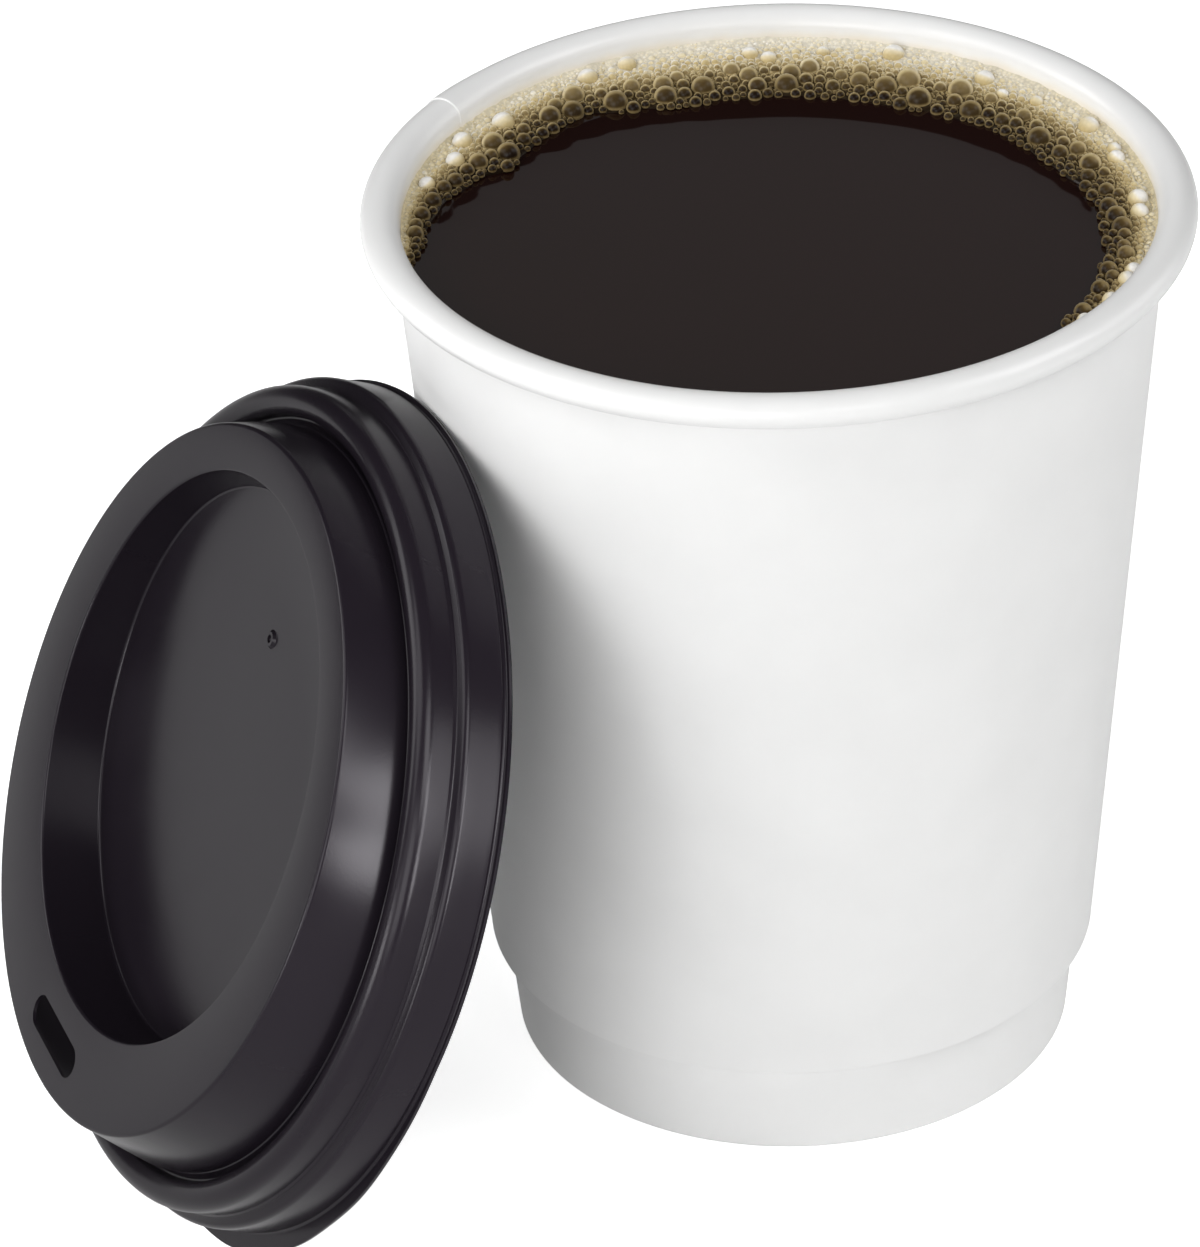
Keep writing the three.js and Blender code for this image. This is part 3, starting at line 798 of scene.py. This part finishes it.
lid = {
    "sheet": 0.35, "fit": 0.85, "lipWidth": 0.32,
    "snapDepth": 0.15, "snapHeight": 0.75, "skirtHeight": 4.2, "skirtShoulder": 0.8,
    "grooveInset": 1.1, "grooveRise": 0.9, "beadInset": 1.25, "beadRound": 1.6, "beadRise": 3.85,
    "troughRound": 0.4, "troughDepth": 1.9, "ledgeRise": 1.1, "ledgeWidth": 1.8,
    "domeRise": 7.25, "domeSlope": 2.5, "domeShift": -1.0, "domeEdge": 0.4,
    "ringWidth": 6.9, "recessShift": -3.5, "recessEdge": 0.25, "recessDepth": 5.1, "recessDraft": 0.5,
    "floorShift": -3.0, "floorSlope": -1.4, "floorCorner": 0.3,
    "tabWidth": 1.45, "tabFrom": 2, "tabTo": 86, "tabLead": 0.75, "tabWave": 0.1,
    "slotLength": 12, "slotWidth": 3.3,
    "ventDiameter": 0.8, "ventRadius": 18, "ventAngle": 177, "ventBoss": 1.1, "ventRise": 0.3,
    "lean": 22.5, "spin": 178, "sideways": -5.7,
    "turnSteps": 240, "sharp": 32,
    # the roundings of the smaller corners
    "ledgeBend": 0.25, "domeFoot": 1.4, "beadFoot": (0.03, 0.3), "grooveBend": 0.15, "grooveSunk": 0.05,
    "skirtLevels": (3.0, 1.4), "snapBend": 0.3, "snapAbove": 0.25, "lipEdge": (0.12, 0.03),
    # how far the shapes that cut the sheet reach past it, and the boss's smaller top
    "slotReach": 1.2, "ventReach": 2, "bossSunk": 0.2, "bossTop": 0.3,
}


def tilt(degrees, x):
    return math.tan(math.radians(degrees)) * x


# the sheet's upper face, from the middle of the recess out to the lip
def lidShell():
    skirt = cup["rimRadius"] + lid["fit"] + lid["sheet"]
    groove = lid["skirtHeight"] + lid["grooveRise"]
    crest = skirt - lid["beadInset"] - lid["beadRound"]
    beadTop = groove + lid["beadRise"]
    trough = crest - lid["beadRound"]
    troughLevel = beadTop - lid["troughDepth"]
    ledge = trough - lid["troughRound"]
    ledgeLevel = troughLevel + lid["ledgeRise"]
    dome = ledge - lid["ledgeWidth"]
    top = ledgeLevel + lid["domeRise"]
    mouth = dome - lid["ringWidth"]
    floor = mouth - lid["recessDraft"]
    floorLevel = top - lid["recessDepth"]
    corner, edge, brow = lid["floorCorner"], lid["recessEdge"], lid["domeEdge"]
    ledgeBend, grooveBend, snapBend = lid["ledgeBend"], lid["grooveBend"], lid["snapBend"]
    beadLean, beadUp = lid["beadFoot"]
    lipIn, lipUp = lid["lipEdge"]
    lip = skirt + lid["lipWidth"]
    bands = {
        "floor": [(0, floorLevel), (9, floorLevel), (18, floorLevel)]
                 + arc(floor - corner, floorLevel + corner, corner, -90, 0, 5),
        "mouth": arc(mouth + edge, top - edge, edge, 180, 90, 5),
        "dome": arc(dome - brow, top - brow, brow, 90, 5, 5),
        "side": [(ledge - ledgeBend, ledgeLevel + lid["domeFoot"])]
                + arc(ledge - ledgeBend, ledgeLevel - ledgeBend, ledgeBend, 70, 0, 3)
                + arc(trough, troughLevel + lid["troughRound"], lid["troughRound"], 180, 330, 7)
                + arc(crest, beadTop - lid["beadRound"], lid["beadRound"], 145, 0, 16)
                + [(skirt - lid["beadInset"] - beadLean, groove + beadUp)]
                + arc(skirt - lid["grooveInset"] + grooveBend, groove + lid["grooveSunk"],
                      grooveBend, 170, 240, 3)
                + arc(skirt - lid["skirtShoulder"], lid["skirtHeight"], lid["skirtShoulder"], 62, 0, 8)
                + [(skirt, level) for level in lid["skirtLevels"]]
                + arc(skirt - snapBend, lid["snapHeight"] + lid["snapAbove"], snapBend, 0, -40, 3)
                + arc(skirt - lid["snapDepth"] + snapBend, lid["sheet"] + snapBend, snapBend, 160, 270, 5),
        "lip": [(lip - lipIn, lid["sheet"] + lipUp), (lip, lid["sheet"])],
    }
    section, bandOf = [], []
    for name, points in bands.items():
        section += points
        bandOf += [name] * len(points)
    bm = spinSection(section, lid["turnSteps"])
    faceOutward(bm)
    row = bm.verts.layers.int["row"]
    moves = {"floor": (lid["floorShift"], lid["floorSlope"]), "mouth": (lid["recessShift"], lid["domeSlope"]),
             "dome": (lid["domeShift"], lid["domeSlope"])}
    for v in bm.verts:
        band = bandOf[v[row]]
        if band in moves:
            shift, slope = moves[band]
            v.co.x += shift * mm
            v.co.z += tilt(slope, v.co.x)
        elif band == "lip":
            growLip(v)
    slotX = (mouth + lid["recessShift"] + dome + lid["domeShift"]) / 2
    return bm, slotX, top, floorLevel


# the lip widens into the lift tab, which waves a little
def growLip(v):
    t = (angleOf(v.co) - lid["tabFrom"]) / (lid["tabTo"] - lid["tabFrom"])
    if not 0 < t < 1:
        return
    rise = math.sin(math.pi * t ** lid["tabLead"])
    wave = lid["tabWave"] * math.sin(9 * math.pi * t) * rise
    r = math.hypot(v.co.x, v.co.y)
    grown = (r + (lid["tabWidth"] * rise + wave) * mm) / r
    v.co.x *= grown
    v.co.y *= grown


# the drinking slot: two half circles and the straight part between, along Y
def slotTool(x, low, high):
    segments = 48
    bm = bmesh.new()
    bmesh.ops.create_circle(bm, cap_ends=True, segments=segments, radius=lid["slotWidth"] / 2 * mm,
                            matrix=Matrix.Rotation(math.pi / segments, 4, "Z"))
    end = (lid["slotLength"] - lid["slotWidth"]) / 2 * mm
    for v in bm.verts:
        v.co.y += math.copysign(end, v.co.y)
    made = bmesh.ops.extrude_face_region(bm, geom=bm.faces[:])
    top = [g for g in made["geom"] if isinstance(g, bmesh.types.BMVert)]
    bmesh.ops.translate(bm, verts=top, vec=(0, 0, (high - low) * mm))
    bmesh.ops.translate(bm, verts=bm.verts, vec=(x * mm, 0, low * mm))
    bmesh.ops.recalc_face_normals(bm, faces=bm.faces)
    return linkMesh("slotCutter", bm)


def ventTool(name, radius, topRadius, low, high):
    around = math.radians(lid["ventAngle"])
    x, y = lid["ventRadius"] * math.cos(around), lid["ventRadius"] * math.sin(around)
    level = tilt(lid["floorSlope"], x)
    bm = bmesh.new()
    bmesh.ops.create_cone(bm, cap_ends=True, segments=40, radius1=radius * mm, radius2=topRadius * mm,
                          depth=(high - low) * mm)
    bmesh.ops.translate(bm, verts=bm.verts, vec=(x * mm, y * mm, (level + (high + low) / 2) * mm))
    return linkMesh(name, bm)


def sipLid():
    bm, slotX, top, floor = lidShell()
    ob = makeObject("sipLid", bm, lidPlastic, ["lid"])
    addThickness(ob, lid["sheet"], -1)
    slotTop = top + tilt(lid["domeSlope"], slotX)
    hole = lid["ventDiameter"] / 2
    tools = (
        ("DIFFERENCE", slotTool(slotX, slotTop - lid["slotReach"], slotTop + lid["slotReach"])),
        ("UNION", ventTool("ventBoss", lid["ventBoss"], hole + lid["bossTop"],
                           floor - lid["bossSunk"], floor + lid["ventRise"])),
        ("DIFFERENCE", ventTool("ventHole", hole, hole, floor - lid["ventReach"], floor + lid["ventReach"])),
    )
    for operation, tool in tools:
        cut = ob.modifiers.new(tool.name, "BOOLEAN")
        cut.operation = operation
        cut.solver = "EXACT"
        cut.object = tool
    applyModifiers(ob, lid["sharp"])
    for _, tool in tools:
        bpy.data.objects.remove(tool)
    lean = Matrix.Rotation(math.radians(lid["lean"] - 90), 4, "Y")
    ob.data.transform(lean @ Matrix.Rotation(math.radians(lid["spin"]), 4, "Z"))
    # it stands on the table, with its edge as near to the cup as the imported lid's
    low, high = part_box("lid")
    right = max(v.co.x for v in ob.data.vertices)
    bottom = min(v.co.z for v in ob.data.vertices)
    ob.data.transform(Matrix.Translation((high.x - right, cupY + lid["sideways"] * mm, low.z - bottom)))
    return ob


lidPiece = sipLid()
print("lid done", clock())


# studio

shot = {"fromCup": (-0.27521, -0.71147, 0.5164), "heading": -19.777, "pitch": 31.766, "roll": -1.786,
        "lens": 264.28, "sensor": 36.0}
studio = {
    "floorColor": (0.93, 0.93, 0.93), "floorSize": 3.0, "floorRoughness": 0.8, "floorSpecular": 0.1,
    "floorGlow": 0.05, "floorSeen": 0.75,
    "worldLow": 0.02, "worldHigh": 0.04,
    # name, azimuth and height in degrees, width and height in metres, power
    "lampReach": 1.2, "aimHeight": 0.045,
    "lamps": (("leftFront", 230, 20, (0.6, 0.6), 5.85), ("leftLow", 205, 20, (0.6, 0.6), 1.65),
              ("leftHigh", 180, 45, (0.6, 0.6), 4.3), ("leftBack", 150, 20, (0.6, 0.6), 4.7),
              ("rightLow", 0, 20, (0.6, 0.6), 2.5), ("backCard", 69, 25, (0.7, 0.36), 0.22)),
    "paperLamps": (("right", 330, 45, (0.6, 0.6), 4.9), ("front", 270, 35, (0.3, 0.3), 1.5)),
    "lidCards": (("lidHigh", 270, 45, (0.6, 0.6), 8.5), ("lidEdge", 290, 25, (0.34, 0.34), 5.2),
                 ("lidLow", 280, 10, (0.3, 0.3), 6.2), ("lidRight", 305, 20, (0.6, 0.6), 6.0),
                 ("lidFront", 230, 20, (0.6, 0.6), 4.1), ("lidSide", 188, 5, (0.4, 0.22), 4.0)),
}


def makeCamera():
    data = bpy.data.cameras.new("camera")
    data.lens = shot["lens"]
    data.sensor_width = shot["sensor"]
    data.sensor_fit = "AUTO"
    data.clip_start = 0.01
    ob = bpy.data.objects.new("camera", data)
    bpy.context.scene.collection.objects.link(ob)
    turn = (Matrix.Rotation(math.radians(shot["heading"]), 4, "Z")
            @ Matrix.Rotation(math.radians(90 - shot["pitch"]), 4, "X")
            @ Matrix.Rotation(math.radians(shot["roll"]), 4, "Z"))
    ob.matrix_world = Matrix.Translation(Vector(shot["fromCup"]) + Vector((cupX, cupY, 0))) @ turn
    bpy.context.scene.camera = ob


def makeWorld():
    world = bpy.data.worlds.new("studio")
    bpy.context.scene.world = world
    world.use_nodes = True
    nodes, links = world.node_tree.nodes, world.node_tree.links
    coords = nodes.new("ShaderNodeTexCoord")
    split = nodes.new("ShaderNodeSeparateXYZ")
    links.new(coords.outputs["Generated"], split.inputs["Vector"])
    level = mapFrom(nodes, links, split.outputs["Z"], To_Min=studio["worldLow"], To_Max=studio["worldHigh"])
    links.new(level, nodes["Background"].inputs["Strength"])
    nodes["Background"].inputs["Color"].default_value = (1, 1, 1, 1)


def makeLamp(name, azimuth, height, size, power):
    data = bpy.data.lights.new(name, "AREA")
    data.shape = "RECTANGLE"
    data.size, data.size_y = size
    data.energy = power
    ob = bpy.data.objects.new(name, data)
    bpy.context.scene.collection.objects.link(ob)
    aim = Vector((cupX, cupY, studio["aimHeight"]))
    a, h = math.radians(azimuth), math.radians(height)
    towards = Vector((math.cos(a) * math.cos(h), math.sin(a) * math.cos(h), math.sin(h)))
    where = aim + studio["lampReach"] * towards
    ob.matrix_world = Matrix.Translation(where) @ (aim - where).to_track_quat("-Z", "Y").to_matrix().to_4x4()
    return ob


def makeFloor():
    bm = bmesh.new()
    bmesh.ops.create_grid(bm, x_segments=1, y_segments=1, size=studio["floorSize"] / 2)
    ob = linkMesh("floor", bm)
    mat, nodes, links, shader = newMaterial("paleFloor")
    setInputs(shader, Base_Color=(*studio["floorColor"], 1), Roughness=studio["floorRoughness"],
              Specular_IOR_Level=studio["floorSpecular"], Emission_Color=(1, 1, 1, 1))
    # the floor looks white to the camera and lights the cup much less
    path = nodes.new("ShaderNodeLightPath")
    glow = mapFrom(nodes, links, path.outputs["Is Camera Ray"],
                   To_Min=studio["floorGlow"], To_Max=studio["floorSeen"])
    links.new(glow, shader.inputs["Emission Strength"])
    ob.data.materials.append(mat)


makeCamera()
makeWorld()
for lamp in studio["lamps"]:
    makeLamp(*lamp)
# cards put a sheen on the dark lid alone, and two lamps leave it out
lidOnly = bpy.data.collections.new("lidOnly")
lidOnly.objects.link(lidPiece)
for card in studio["lidCards"]:
    makeLamp(*card).light_linking.receiver_collection = lidOnly
allButLid = bpy.data.collections.new("allButLid")
allButLid.objects.link(lidPiece)
allButLid.collection_objects[0].light_linking.link_state = "EXCLUDE"
for lamp in studio["paperLamps"]:
    makeLamp(*lamp).light_linking.receiver_collection = allButLid
makeFloor()
bpy.context.scene.view_settings.view_transform = "Standard"
print("studio done", clock())
